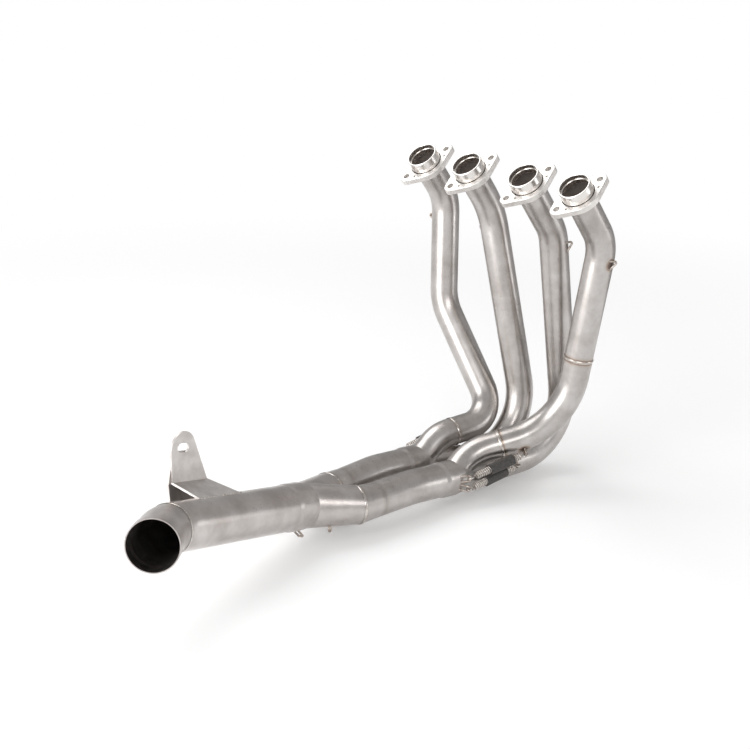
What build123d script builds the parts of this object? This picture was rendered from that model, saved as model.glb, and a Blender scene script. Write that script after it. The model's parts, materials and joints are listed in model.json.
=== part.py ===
from build123d import *
import math
import os

# Exhaust header of a four-cylinder motorcycle: four primary tubes run from the cylinder head
# down and back, join in pairs, then join again into one tail pipe.
# Millimetres. X runs along the row of ports to the bike's right, Y forward, Z up.
# The origin is the middle of the row of port mouths.

# Row of ports on the cylinder head
PITCH_OUTER = 84.0
PITCH_INNER = 100.0
PORT_TILT = 53.0
STUD_LINE_TURN = 64.4

# Tubes
PRIMARY_OD = 38.1
SECONDARY_OD = 44.5
TAIL_OD = 57.2
WALL = 1.2
SLIP_CLEARANCE = 0.05

# Port collars, which push into the head
COLLAR_WALL = 1.95
COLLAR_PROUD = 15.15
MOUTH_STEP = 0.9
MOUTH_DEPTH = 7.0
TUBE_SOCKET = 8.0
RIM_CHAMFER = 0.7

# Loose flanges, held between the collar and the bend of the tube
FLANGE_THICKNESS = 8.5
FLANGE_BAND = 6.5
FLANGE_TIP_BAND = 4.9
STUD_GAP = 6.2
STUD_HOLE = 8.6
FLANGE_PLAY = 1.0
FLANGE_LIP = 2.5
LIP_PLAY = 0.4
COLLAR_SEAT_GAP = 0.3
LOCATING_HOLE = 3.0
LOCATING_GAP = 3.0
LOCATING_TURN = -24.0
FLANGE_CHAMFER = 0.8

# Merge collectors, two primaries into one
MERGE_X = 35.0
MERGE_Y = -104.0
MERGE_Z = -391.0
MERGE_RISE = 6.0
MERGE_CONE = 16.0
MERGE_NECK = 8.0
SLIP_IN = 18.0
CUP_DEPTH = 21.0
CUP_CONE = 6.0

# Main collector and tail
WEDGE_OD = 48.5
TAIL_START = (0.0, -337.0, -372.0)
TAIL_BEND = (46.0, -559.0, -314.0)
TAIL_END = (96.0, -608.0, -300.0)
TAIL_BEND_R = 78.0
TAIL_SEAM_TURN = 14.0
COLLECTOR_NECK = 10.0
TAIL_SLIP_IN = 19.0
TAIL_CUP_DEPTH = 22.0
TAIL_CUP_CONE = 6.0
OUTLET_OD = 60.0
OUTLET_LENGTH = 18.0
OUTLET_CONE = 5.0
CUP_SLOT_WIDTH = 2.0
CUP_SLOT_LENGTH = 9.0
CUP_SLOT_TURN = 24.3

# Weld beads around the tubes
BEAD_WIDTH = 3.4
BEAD_RISE = 0.7
BEAD_SEAT = 0.35

# Wire hooks, and the springs between them that hold the slip joints together
HOOK_WIRE = 2.8
HOOK_SPREAD = 7.0
HOOK_SUNK = 5.0
HOOK_BEND_R = 2.2
CUP_HOOK_RISE = 7.5
CUP_HOOK_LEAN = 9.0
CUP_HOOK_BACK = 3.5
CUP_HOOK_TURN = 14.0
HOOK_GAP = 0.05
SPRING_WIRE = 2.0
SPRING_RING_R = 4.0
SPRING_PLAY = 0.3
SPRING_SHANK = 3.5
COIL_OD = 10.4
COIL_PITCH = 3.0
SLEEVE_PLAY = 0.3
SLEEVE_WALL = 1.5
SLEEVE_FROM = 30.0
SLEEVE_LENGTH = 38.0

# Bracket on top of the tail pipe, in millimetres along, beside and above the pipe
SHEET = 2.5
TAB_SIDE = 34.0
TAB_FOLD_UP = 39.5
TAB_FOLD_FRONT = 135.0
TAB_FOLD_REAR = 193.5
TAB_HOLE_ALONG = 183.0
TAB_HOLE_UP = 79.5
TAB_TOP_R = 19.0
TAB_SLOT_LENGTH = 18.6
TAB_SLOT_WIDTH = 11.0
SHELF_FRONT = 106.0
SHELF_REAR = 179.5
SHELF_SUNK = 8.0
GUSSET_TOP = 75.0
GUSSET_KNEE = 36.5
GUSSET_FRONT = 141.0
GUSSET_REAR = 191.0
GUSSET_FRONT_SLOPE = 17.0
GUSSET_REAR_SLOPE = 6.0

primary_r = PRIMARY_OD / 2
collar_r = primary_r + COLLAR_WALL
flange_bore_r = collar_r + FLANGE_PLAY
flange_r = flange_bore_r + FLANGE_BAND
tip_r = STUD_HOLE / 2 + FLANGE_TIP_BAND
stud_x = flange_bore_r + STUD_GAP + STUD_HOLE / 2
locating_r = flange_bore_r + LOCATING_GAP + LOCATING_HOLE / 2
secondary_r = SECONDARY_OD / 2
tail_r = TAIL_OD / 2
port_x = PITCH_INNER / 2 + PITCH_OUTER
tilt = math.radians(PORT_TILT)
PORT_NORMAL = Vector(0, -math.cos(tilt), math.sin(tilt))
turn = math.radians(STUD_LINE_TURN)
STUD_LINE = Vector(math.cos(turn), math.sin(turn) * math.sin(tilt), math.sin(turn) * math.cos(tilt))
collar_length = COLLAR_PROUD + FLANGE_THICKNESS - FLANGE_LIP - COLLAR_SEAT_GAP
tube_seat = collar_length - TUBE_SOCKET


def port_plane(x):
    """Plane of a port mouth: its normal points into the head, its X along the two studs."""
    return Plane(origin=(x, 0, 0), x_dir=STUD_LINE, z_dir=PORT_NORMAL)


def down_port(x, depth):
    """Point on the port axis, a depth behind the mouth."""
    return Vector(x, 0, 0) - PORT_NORMAL * depth


def path(points, radii):
    """Straight runs joined by tangent arcs."""
    return FilletPolyline(*points, radius=radii) if radii else Line(*points)


def solid_along(route, r):
    """Round bar along a route."""
    start = Plane(origin=route @ 0, z_dir=route % 0)
    return sweep(start * Circle(r), path=route)


def tube_along(points, radii, od):
    """Tube with the common wall along straight runs and arcs."""
    route = path(points, radii)
    start = Plane(origin=route @ 0, z_dir=route % 0)
    ring = Circle(od / 2) - Circle(od / 2 - WALL)
    return sweep(start * ring, path=route)


def turned(plane, profile):
    """Ring turned about a plane's normal from points (radius, height)."""
    face = make_face(Polyline(*[(r, 0, z) for r, z in profile], close=True))
    return plane * revolve(face, Axis.Z)


def port_collar(x):
    """Turned collar: proud of the flange, mouth counterbore above, tube socket below."""
    outer = collar_r
    bore = primary_r - WALL
    mouth = bore + MOUTH_STEP
    c = RIM_CHAMFER
    return turned(port_plane(x), [
        (mouth + c, 0),
        (outer - c, 0),
        (outer, -c),
        (outer, -collar_length),
        (primary_r, -collar_length),
        (primary_r, -tube_seat),
        (bore, -tube_seat),
        (bore, -MOUTH_DEPTH),
        (mouth, -MOUTH_DEPTH),
        (mouth, -c),
    ])


def tangent_point(point, centre, r, side):
    """Where a line from a point touches a circle, on the side given as 1 or -1."""
    dx = point[0] - centre[0]
    dy = point[1] - centre[1]
    angle = math.atan2(dy, dx) + side * math.acos(r / math.hypot(dx, dy))
    return (centre[0] + r * math.cos(angle), centre[1] + r * math.sin(angle))


def flange_outline():
    """Round middle and two round ends, joined by straight tangents."""
    lean = math.acos((flange_r - tip_r) / stud_x)
    mx = flange_r * math.cos(lean)
    my = flange_r * math.sin(lean)
    tx = stud_x + tip_r * math.cos(lean)
    ty = tip_r * math.sin(lean)
    edges = [
        Line((mx, my), (tx, ty)),
        ThreePointArc((tx, ty), (stud_x + tip_r, 0), (tx, -ty)),
        Line((tx, -ty), (mx, -my)),
        ThreePointArc((mx, -my), (0, -flange_r), (-mx, -my)),
        Line((-mx, -my), (-tx, -ty)),
        ThreePointArc((-tx, -ty), (-stud_x - tip_r, 0), (-tx, ty)),
        Line((-tx, ty), (-mx, my)),
        ThreePointArc((-mx, my), (0, flange_r), (mx, my)),
    ]
    return make_face(edges)


def port_flange(x):
    """Two-stud flange that turns about the collar; a lip below catches the collar."""
    body = extrude(flange_outline(), FLANGE_THICKNESS)
    rims = body.faces().sort_by(Axis.Z)
    body = chamfer(rims[-1].edges() + rims[0].edges(), FLANGE_CHAMFER)
    body -= extrude(Circle(primary_r + LIP_PLAY), FLANGE_THICKNESS)
    body -= Pos(0, 0, FLANGE_LIP) * extrude(Circle(flange_bore_r), FLANGE_THICKNESS)
    for side in (-1, 1):
        body -= Pos(side * stud_x, 0, 0) * extrude(Circle(STUD_HOLE / 2), FLANGE_THICKNESS)
        angle = math.radians(LOCATING_TURN)
        at = (side * locating_r * math.cos(angle), locating_r * math.sin(angle))
        body -= Pos(*at) * extrude(Circle(LOCATING_HOLE / 2), FLANGE_THICKNESS)
    plane = port_plane(x)
    return plane * (Pos(0, 0, -COLLAR_PROUD - FLANGE_THICKNESS) * body)


# Routes of the primary tubes after their straight lead from the port, as corners and bend radii.
# Each ends on the seam of its merge collector, and the collector's branch goes on from there.
# The upper tubes lie one tube above the lower ones where they pass them, plus their own rise.
LOWER_Z = -396.9
UPPER_Z = LOWER_Z + PRIMARY_OD
LEAD_1 = 80.7
LEAD_2 = 85.5
LEAD_3 = 105.5
LEAD_4 = 104.4
ROUTE_1 = [(-122.7, 36.0, -212.6), (-19.5, 39.4, UPPER_Z - 0.2)]
ROUTE_2 = [(10.8, 80.8, -415.5)]
ROUTE_3 = [(48.2, 110.9, -397.2)]
ROUTE_4 = [(100.8, 43.9, UPPER_Z + 23.0)]
RADII_1 = [60.0, 76.0, 44.0]
RADII_2 = [92.0, 87.0]
RADII_3 = [58.0, 76.0]
RADII_4 = [59.0, 105.0]
BRANCH_1 = [(-36.0, -58.5, UPPER_Z - 6.9), (-35.0, -90.8, -388.9)]
BRANCH_2 = [(-35.0, -81.8, LOWER_Z)]
BRANCH_3 = [(35.0, -78.0, LOWER_Z)]
BRANCH_4 = [(26.8, -62.8, UPPER_Z - 11.5), (35.0, -97.7, -388.9)]
BRANCH_RADII_1 = [60.0, 55.0]
BRANCH_RADII_2 = [100.0]
BRANCH_RADII_3 = [122.0]
BRANCH_RADII_4 = [64.0, 42.0]
SEAM_1 = 24.0
SEAM_2 = 53.0
SEAM_3 = 57.0
SEAM_4 = 43.5
UPPER_4 = 158.5


def toward(start, end, distance):
    """Point a distance from start towards end."""
    start = Vector(*start)
    return start + (Vector(*end) - start).normalized() * distance


seam_1 = toward(BRANCH_1[0], ROUTE_1[-1], SEAM_1)
seam_2 = toward(BRANCH_2[0], ROUTE_2[-1], SEAM_2)
seam_3 = toward(BRANCH_3[0], ROUTE_3[-1], SEAM_3)
seam_4 = toward(BRANCH_4[0], ROUTE_4[-1], SEAM_4)


def primary_points(x, lead, route):
    """From the collar's socket along the port axis, then the corners of the route."""
    return [down_port(x, tube_seat), down_port(x, lead)] + [Vector(*p) for p in route]


def merge_plane(side):
    """Plane of a merge collector's slip joint, its normal pointing to the tail."""
    rise = math.radians(MERGE_RISE)
    normal = (-side * 0.014, -math.cos(rise), math.sin(rise))
    return Plane(origin=(side * MERGE_X, MERGE_Y, MERGE_Z), x_dir=(1, 0, 0), z_dir=normal)


def merge_branch(start, corners, radii, plane, r):
    """One inlet of a merge collector, from its seam to the joint's axis."""
    end = plane.origin + plane.z_dir * MERGE_NECK
    return solid_along(path([start] + corners + [end], radii), r)


def merge_body(upper, lower, plane, inset):
    """Outer shape of the merged inlets and their round outlet, drawn in by an inset."""
    outlet_r = secondary_r - inset
    inlet_r = primary_r - inset
    body = merge_branch(*upper, plane, inlet_r)
    body += merge_branch(*lower, plane, inlet_r)
    cone = [(0, -MERGE_NECK - MERGE_CONE), (inlet_r, -MERGE_NECK - MERGE_CONE), (outlet_r, -MERGE_NECK),
            (outlet_r, SLIP_IN), (0, SLIP_IN)]
    return body + turned(plane, cone)


def merge_collector(side, upper, lower):
    """Two inlet tubes that grow into one round outlet, hollow, with a sharp crotch between them."""
    plane = merge_plane(side)
    return merge_body(upper, lower, plane, 0) - merge_body(upper, lower, plane, WALL)


def cup(plane, r, depth, cone):
    """Widened end of a tube that takes the end of the piece before it."""
    wide = r + WALL + SLIP_CLEARANCE
    inner = r - WALL
    return turned(plane, [
        (r + SLIP_CLEARANCE, 0),
        (wide, 0),
        (wide, depth),
        (r, depth + cone),
        (inner, depth + cone),
        (r + SLIP_CLEARANCE, depth),
    ])


SECONDARY_LEAD = 72.4
SECONDARY_END = (30.5, -235.0, -384.0)
SECONDARY_BEND_R = 150.0
WEDGE_END = (28.0, -262.0, -383.5)


def mirrored(point, side):
    """The same point on the side given as 1 or -1."""
    return Vector(side * point[0], point[1], point[2])


def secondary_points(side):
    plane = merge_plane(side)
    start = plane.origin + plane.z_dir * (CUP_DEPTH + CUP_CONE)
    corner = plane.origin + plane.z_dir * SECONDARY_LEAD
    return [start, corner, mirrored(SECONDARY_END, side)]


def secondary_tube(side):
    """Tube from the slip joint to the wedge before the main collector."""
    body = tube_along(secondary_points(side), [SECONDARY_BEND_R], SECONDARY_OD)
    return cup(merge_plane(side), secondary_r, CUP_DEPTH, CUP_CONE) + body


tail_axis = (Vector(*TAIL_BEND) - Vector(*TAIL_START)).normalized()
tail_joint = Plane(origin=TAIL_START, x_dir=(1, 0, 0), z_dir=tail_axis)


def wedge_planes(side):
    """Planes of the wedge's front seam, its rear seam and the collector's outlet."""
    points = secondary_points(side)
    front = (points[2] - points[1]).normalized()
    outlet = tail_joint.origin - tail_axis * COLLECTOR_NECK
    rear_at = mirrored(WEDGE_END, side)
    onward = (outlet - rear_at).normalized()
    rear = (onward + (rear_at - points[2]).normalized()).normalized()
    across = (1, 0, 0)
    return (Plane(origin=points[2], x_dir=across, z_dir=front), Plane(origin=rear_at, x_dir=across, z_dir=rear),
            Plane(origin=outlet, x_dir=across, z_dir=tail_axis))


def lofted(first, first_r, last, last_r):
    """Straight-sided body between two circles."""
    return loft([first * Circle(first_r), last * Circle(last_r)], ruled=True)


def wedge(side):
    """Pie-cut piece that widens the secondary tube."""
    front, rear, _ = wedge_planes(side)
    outer = lofted(front, secondary_r, rear, WEDGE_OD / 2)
    return outer - lofted(front, secondary_r - WALL, rear, WEDGE_OD / 2 - WALL)


def main_body(inset):
    """Outer shape of the main collector, drawn in by an inset."""
    body = None
    for side in (-1, 1):
        _, rear, outlet = wedge_planes(side)
        arm = lofted(rear, WEDGE_OD / 2 - inset, outlet, tail_r - inset)
        body = arm if body is None else body + arm
    neck = [(0, -COLLECTOR_NECK), (tail_r - inset, -COLLECTOR_NECK), (tail_r - inset, TAIL_SLIP_IN),
            (0, TAIL_SLIP_IN)]
    return body + turned(tail_joint, neck)


def main_collector():
    """Two arms that widen and grow together into the round neck of the tail joint."""
    return main_body(0) - main_body(WALL)


out_axis = (Vector(*TAIL_END) - Vector(*TAIL_BEND)).normalized()
bend_turn = out_axis.get_angle(tail_axis)
bend_side = (out_axis - tail_axis * out_axis.dot(tail_axis)).normalized()
SEAM_STRAIGHT = 0.5


def bend_lead(turn):
    """Length from the corner of a bend in the tail to where its arc starts."""
    return TAIL_BEND_R * math.tan(math.radians(turn) / 2)


seam_turn = math.radians(TAIL_SEAM_TURN)
seam_axis = tail_axis * math.cos(seam_turn) + bend_side * math.sin(seam_turn)
first_lead = bend_lead(TAIL_SEAM_TURN)
last_lead = bend_lead(bend_turn - TAIL_SEAM_TURN)
first_corner = toward(TAIL_BEND, TAIL_START, bend_lead(bend_turn) - first_lead)
tail_seam = first_corner + seam_axis * (first_lead + SEAM_STRAIGHT)
last_corner = tail_seam + seam_axis * (last_lead + SEAM_STRAIGHT)
straight_out = (Vector(*TAIL_END) - Vector(*TAIL_BEND)).length - bend_lead(bend_turn) + last_lead
tail_end = last_corner + out_axis * straight_out
outlet_plane = Plane(origin=tail_end, z_dir=out_axis)


def tail_pipe():
    """Tail pipe with a slotted cup in front, up to the seam inside its bend."""
    start = tail_joint.origin + tail_axis * (TAIL_CUP_DEPTH + TAIL_CUP_CONE)
    body = tube_along([start, first_corner, tail_seam], [TAIL_BEND_R], TAIL_OD)
    body += cup(tail_joint, tail_r, TAIL_CUP_DEPTH, TAIL_CUP_CONE)
    slot = Pos(tail_r, 0, 0) * Box(4 * WALL, CUP_SLOT_WIDTH, 2 * CUP_SLOT_LENGTH)
    return body - tail_joint * (Rot(0, 0, CUP_SLOT_TURN) * slot)


def tail_outlet():
    """Bent end piece whose rim is widened for the silencer's pipe."""
    length = OUTLET_LENGTH + OUTLET_CONE
    points = [tail_seam, last_corner, tail_end - out_axis * length]
    body = tube_along(points, [TAIL_BEND_R], TAIL_OD)
    r = OUTLET_OD / 2
    rim = turned(outlet_plane, [
        (tail_r - WALL, -length),
        (tail_r, -length),
        (r, -OUTLET_LENGTH),
        (r, 0),
        (r - WALL, 0),
        (r - WALL, -OUTLET_LENGTH),
    ])
    return body + rim


def bead(at, along, od):
    """Low weld bead around a tube, resting on the line of its seam."""
    r = od / 2
    return turned(Plane(origin=at, z_dir=along), [
        (r, 0),
        (r + BEAD_SEAT, -BEAD_WIDTH / 2),
        (r + BEAD_RISE, -BEAD_WIDTH / 4),
        (r + BEAD_RISE, BEAD_WIDTH / 4),
        (r + BEAD_SEAT, BEAD_WIDTH / 2),
    ])


# Axes of the bracket: along the tail pipe, to its left and above it
bracket_up = (Vector(0, 0, 1) - tail_axis * tail_axis.Z).normalized()
bracket_plane = Plane(origin=TAIL_START, x_dir=tail_axis, z_dir=bracket_up)


def tab_outline():
    """Upright tab: a round head over a wide foot."""
    head = (TAB_HOLE_ALONG, TAB_HOLE_UP)
    front = (TAB_FOLD_FRONT, TAB_FOLD_UP)
    rear = (TAB_FOLD_REAR, TAB_FOLD_UP)
    foot = make_face(Polyline(front, rear, tangent_point(rear, head, TAB_TOP_R, 1), head,
                              tangent_point(front, head, TAB_TOP_R, -1), close=True))
    return foot + Pos(*head) * Circle(TAB_TOP_R)


def upright(face, side, thickness):
    """Extrude a face drawn as (along, up) into a sheet that stands beside the pipe."""
    sheet = extrude(Plane.XZ * face, -thickness)
    return bracket_plane * (Pos(0, -side - thickness, 0) * sheet)


def bracket_tab():
    """Sheet bent from a sloping shelf on the pipe's crown to an upright tab with an oval hole."""
    face = tab_outline() - Pos(TAB_HOLE_ALONG, TAB_HOLE_UP) * SlotOverall(TAB_SLOT_LENGTH, TAB_SLOT_WIDTH)
    tab = upright(face, TAB_SIDE, SHEET)
    rise = math.atan2(TAB_FOLD_UP - tail_r, TAB_SIDE)
    reach = (TAB_SIDE + SHEET - SHEET * math.sin(rise)) / math.cos(rise)
    outline = [(SHELF_FRONT, SHELF_SUNK), (SHELF_REAR, SHELF_SUNK), (TAB_FOLD_REAR, -reach), (TAB_FOLD_FRONT, -reach)]
    shelf = extrude(make_face(Polyline(*outline, close=True)), -SHEET)
    shelf = Pos(0, 0, tail_r) * (Rot(-math.degrees(rise), 0, 0) * shelf)
    shelf = bracket_plane * shelf
    return shelf + tab - pipe_core()


def pipe_core():
    """Solid as wide as the tail pipe, to seat the bracket on it."""
    return bracket_plane * (Pos(SHELF_REAR, 0, 0) * Rot(0, 90, 0) * Cylinder(tail_r, 2 * SHELF_REAR))


def bracket_gusset():
    """Doubler on the outside of the tab whose lower half leans in to touch the pipe's side."""
    inner = TAB_SIDE + SHEET
    low = tangent_point((inner, GUSSET_KNEE), (0, 0), tail_r + SLIP_CLEARANCE, -1)
    lean = math.atan2(inner - low[0], GUSSET_KNEE - low[1])
    out = SHEET / math.cos(lean)
    profile = [
        (-inner, GUSSET_TOP),
        (-inner - SHEET, GUSSET_TOP),
        (-inner - SHEET, GUSSET_KNEE),
        (-low[0] - out, low[1]),
        (-low[0], low[1]),
        (-inner, GUSSET_KNEE),
    ]
    band = extrude(Plane.YZ * make_face(Polyline(*profile, close=True)), 2 * GUSSET_REAR)
    bottom = low[1] - SHEET
    trim = make_face(Polyline((GUSSET_FRONT, bottom), (GUSSET_REAR, bottom),
                              (GUSSET_REAR + GUSSET_REAR_SLOPE, GUSSET_KNEE),
                              (GUSSET_REAR + GUSSET_REAR_SLOPE, GUSSET_TOP),
                              (GUSSET_FRONT + GUSSET_FRONT_SLOPE, GUSSET_TOP),
                              (GUSSET_FRONT, GUSSET_KNEE), close=True))
    window = extrude(Plane.XZ * trim, 3 * inner, both=True)
    return bracket_plane * (band & window)


# Hooks of the secondary springs on the primary tubes: a point on the tube's axis, the way the
# hook stands out from it and the height of its bar.
SPRING_HOOK_1 = ((-28.7, -15.4, -362.8), (-0.96, 0.18, -0.2), 10.0)
SPRING_HOOK_2 = ((-18.0, -21.2, -403.7), (-0.95, 0.25, -0.16), 10.0)
SPRING_HOOK_3 = ((40.0, -4.8, -397.0), (0.98, -0.07, 0.21), 7.0)
SPRING_HOOK_4 = ((65.8, -6.6, -351.9), (0.74, -0.27, -0.62), 6.0)

# Hooks near the ports: foot, nose and foot, as offsets from the port's mouth
PORT_HOOK_1 = [(-15.5, 38.8, -89.5), (-21.7, 35.8, -91.7), (-15.3, 39.2, -98.6)]
PORT_HOOK_2 = [(-13.8, 46.2, -92.3), (-21.1, 48.3, -95.6), (-12.2, 47.1, -101.5)]
PORT_HOOK_3 = [(18.5, 61.0, -96.0), (23.7, 76.0, -95.8), (18.4, 72.1, -113.9)]
PORT_HOOK_4 = [(13.0, 50.3, -103.1), (23.1, 65.2, -104.4), (14.6, 59.6, -118.1)]
PORT_HOOK_BEND_R = 2.5

# Hooks under the main joint, on the cup and on the collector's right arm
MAIN_HOOK_OUT = (0.283, -0.187, -0.941)
MAIN_HOOK_SHARE = 0.5
MAIN_HOOK_RISE = 6.0


def wire(points, bend_r):
    """Round wire along straight runs and bends."""
    return solid_along(FilletPolyline(*points, radius=bend_r), HOOK_WIRE / 2)


def hook(foot, bar, across, carrier):
    """Two legs from a skin to a bar across them; their ends are cut off at the carrier."""
    half = across * (HOOK_SPREAD / 2)
    start = foot - (bar - foot).normalized() * HOOK_SUNK
    return wire([start - half, bar - half, bar + half, start + half], HOOK_BEND_R) - carrier


def cup_hook(plane, r, out):
    """Foot and bar of a hook that leans forward over the rim of a cup."""
    skin = r + WALL + SLIP_CLEARANCE
    foot = plane.origin + plane.z_dir * CUP_HOOK_BACK + out * skin
    return foot, foot + out * CUP_HOOK_RISE - plane.z_dir * CUP_HOOK_LEAN


def cup_core(plane, r):
    """Solid as wide as a cup, to seat its hooks on it."""
    core_r = r + WALL + SLIP_CLEARANCE + HOOK_GAP
    return turned(plane, [(0, 0), (core_r, 0), (core_r, CUP_DEPTH), (0, CUP_DEPTH)])


def on_route(route, point):
    """Nearest point on a route."""
    return route.distance_to_with_closest_points(Vertex(*point))[1]


def tube_hook(route, at, out, rise):
    """Foot and bar of a hook that stands square on a tube."""
    centre = on_route(route, at)
    along = route.tangent_at(centre)
    out = Vector(*out)
    out = (out - along * out.dot(along)).normalized()
    foot = centre + out * primary_r
    return foot, foot + out * rise


def ring_place(bar, pull):
    """Middle of a spring's end ring, pulled away from the hook's bar that it holds."""
    inner = SPRING_RING_R - SPRING_WIRE / 2
    return bar + pull * (inner - HOOK_WIRE / 2 - SPRING_PLAY)


def spring(start, end, start_across, end_across):
    """Tension spring between two hooks: an end ring, a shank, the close coil, a shank and a ring.

    Each ring is turned to its own hook's bar."""
    pull = (end - start).normalized()
    first = ring_place(start, pull)
    last = ring_place(end, -pull)
    body = None
    for centre, across in ((first, start_across), (last, end_across)):
        flat = (across - pull * across.dot(pull)).normalized()
        ring = Plane(origin=centre, x_dir=pull, z_dir=flat) * Torus(SPRING_RING_R, SPRING_WIRE / 2)
        body = ring if body is None else body + ring
    inset = SPRING_RING_R + SPRING_SHANK
    length = (last - first).length - 2 * inset
    turns = round(length / COIL_PITCH)
    pitch = length / turns
    crest = COIL_OD / 2
    groove = crest - SPRING_WIRE / 2
    shank = SPRING_WIRE / 2
    reach = inset - SPRING_RING_R
    profile = [(0, -reach), (shank, -reach), (shank, 0)]
    for step in range(turns):
        profile += [(groove, pitch * step), (crest, pitch * (step + 0.5))]
    profile += [(groove, length), (shank, length), (shank, length + reach), (0, length + reach)]
    return body + turned(Plane(origin=first + pull * inset, x_dir=flat, z_dir=pull), profile)


def sleeve(start, end, across):
    """Rubber tube over the coil, which keeps the spring from ringing."""
    pull = (end - start).normalized()
    r = COIL_OD / 2 + SLEEVE_PLAY
    ring = Circle(r + SLEEVE_WALL) - Circle(r)
    return extrude(Plane(origin=start + pull * SLEEVE_FROM, x_dir=across, z_dir=pull) * ring, SLEEVE_LENGTH)


def joint_springs(side, name, routes, hooks):
    """Two springs with sleeves and hooks over a secondary joint, the upper one first."""
    parts = {}
    plane = merge_plane(side)
    core = cup_core(plane, secondary_r)
    for row, turn, route, place in zip(("upper", "lower"), (CUP_HOOK_TURN, -CUP_HOOK_TURN), routes, hooks):
        angle = math.radians(turn)
        out = plane.x_dir * (side * math.cos(angle)) + plane.y_dir * math.sin(angle)
        round_cup = plane.z_dir.cross(out)
        foot, bar = cup_hook(plane, secondary_r, out)
        tube_foot, tube_bar = tube_hook(route, *place)
        across = (tube_bar - tube_foot).cross(tube_bar - bar).normalized()
        tag = f"{name}_{row}"
        parts[f"cup_hook_{tag}"] = hook(foot, bar, round_cup, core)
        parts[f"tube_hook_{tag}"] = hook(tube_foot, tube_bar, across, solid_along(route, primary_r + HOOK_GAP))
        parts[f"spring_{tag}"] = spring(bar, tube_bar, round_cup, across)
        parts[f"spring_sleeve_{tag}"] = sleeve(bar, tube_bar, across)
    return parts


def port_hook(x, route, points):
    """Wire hook behind a flange: both feet on the tube's skin, the nose between them."""
    foot, nose, last_foot = [Vector(x, 0, 0) + Vector(*p) for p in points]
    ends = []
    for end in (foot, last_foot):
        centre = on_route(route, end)
        ends.append(centre + (end - centre).normalized() * (primary_r - HOOK_SUNK / 2))
    shift = ((ends[0] - foot) + (ends[1] - last_foot)) * 0.5
    core = solid_along(route, primary_r + HOOK_GAP)
    return wire([ends[0], nose + shift + (nose - foot).normalized() * (HOOK_SUNK / 2), ends[1]], PORT_HOOK_BEND_R) - core


def main_hooks():
    """The two hooks under the main joint."""
    out = Vector(*MAIN_HOOK_OUT)
    out = (out - tail_axis * out.dot(tail_axis)).normalized()
    across = tail_axis.cross(out)
    foot, bar = cup_hook(tail_joint, tail_r, out)
    front = hook(foot, bar, across, cup_core(tail_joint, tail_r))
    _, rear, outlet = wedge_planes(1)
    arm = outlet.origin - rear.origin
    way = arm.normalized()
    out = (out - way * out.dot(way)).normalized()
    share = MAIN_HOOK_SHARE
    skin = WEDGE_OD / 2 * (1 - share) + tail_r * share
    foot = rear.origin + arm * share + out * skin
    bar = foot + out * MAIN_HOOK_RISE
    return front, hook(foot, bar, way.cross(out), main_body(-HOOK_GAP))


def build():
    parts = {}
    for number, x in enumerate((-port_x, -PITCH_INNER / 2, PITCH_INNER / 2, port_x), start=1):
        parts[f"port_collar_{number}"] = port_collar(x)
        parts[f"port_flange_{number}"] = port_flange(x)
    half = PITCH_INNER / 2
    points_1 = primary_points(-port_x, LEAD_1, ROUTE_1) + [seam_1]
    points_2 = primary_points(-half, LEAD_2, ROUTE_2) + [seam_2]
    points_3 = primary_points(half, LEAD_3, ROUTE_3) + [seam_3]
    points_4 = primary_points(port_x, LEAD_4, ROUTE_4) + [seam_4]
    split = toward(points_4[1], points_4[2], UPPER_4)
    parts["primary_tube_1"] = tube_along(points_1, RADII_1, PRIMARY_OD)
    parts["primary_tube_2"] = tube_along(points_2, RADII_2, PRIMARY_OD)
    parts["primary_tube_3"] = tube_along(points_3, RADII_3, PRIMARY_OD)
    parts["primary_tube_4_upper"] = tube_along(points_4[:2] + [split], RADII_4[:1], PRIMARY_OD)
    parts["primary_tube_4_lower"] = tube_along([split] + points_4[2:], RADII_4[1:], PRIMARY_OD)
    parts["merge_collector_left"] = merge_collector(
        -1, (seam_1, BRANCH_1, BRANCH_RADII_1), (seam_2, BRANCH_2, BRANCH_RADII_2))
    parts["merge_collector_right"] = merge_collector(
        1, (seam_4, BRANCH_4, BRANCH_RADII_4), (seam_3, BRANCH_3, BRANCH_RADII_3))
    for side, name in ((-1, "left"), (1, "right")):
        parts[f"secondary_tube_{name}"] = secondary_tube(side)
        parts[f"secondary_wedge_{name}"] = wedge(side)
    parts["main_collector"] = main_collector()
    parts["tail_pipe"] = tail_pipe()
    parts["tail_outlet"] = tail_outlet()
    parts["tail_bracket_tab"] = bracket_tab()
    parts["tail_bracket_gusset"] = bracket_gusset()
    parts["primary_weld_4"] = bead(split, split - points_4[1], PRIMARY_OD)
    seams = [(seam_1, BRANCH_1), (seam_2, BRANCH_2), (seam_3, BRANCH_3), (seam_4, BRANCH_4)]
    for number, (seam, branch) in enumerate(seams, start=1):
        parts[f"merge_weld_{number}"] = bead(seam, Vector(*branch[0]) - seam, PRIMARY_OD)
    for side, name in ((-1, "left"), (1, "right")):
        rear = wedge_planes(side)[1]
        parts[f"secondary_weld_{name}"] = bead(rear.origin, rear.z_dir, WEDGE_OD)
    parts["tail_weld"] = bead(tail_seam, seam_axis, TAIL_OD)
    routes = [path(points_1, RADII_1), path(points_2, RADII_2), path(points_3, RADII_3), path(points_4, RADII_4)]
    port_hooks = (PORT_HOOK_1, PORT_HOOK_2, PORT_HOOK_3, PORT_HOOK_4)
    for number, (x, route, points) in enumerate(zip((-port_x, -half, half, port_x), routes, port_hooks), start=1):
        parts[f"port_hook_{number}"] = port_hook(x, route, points)
    parts |= joint_springs(-1, "left", (routes[0], routes[1]), (SPRING_HOOK_1, SPRING_HOOK_2))
    parts |= joint_springs(1, "right", (routes[3], routes[2]), (SPRING_HOOK_4, SPRING_HOOK_3))
    parts["main_hook_cup"], parts["main_hook_collector"] = main_hooks()
    return parts


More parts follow.
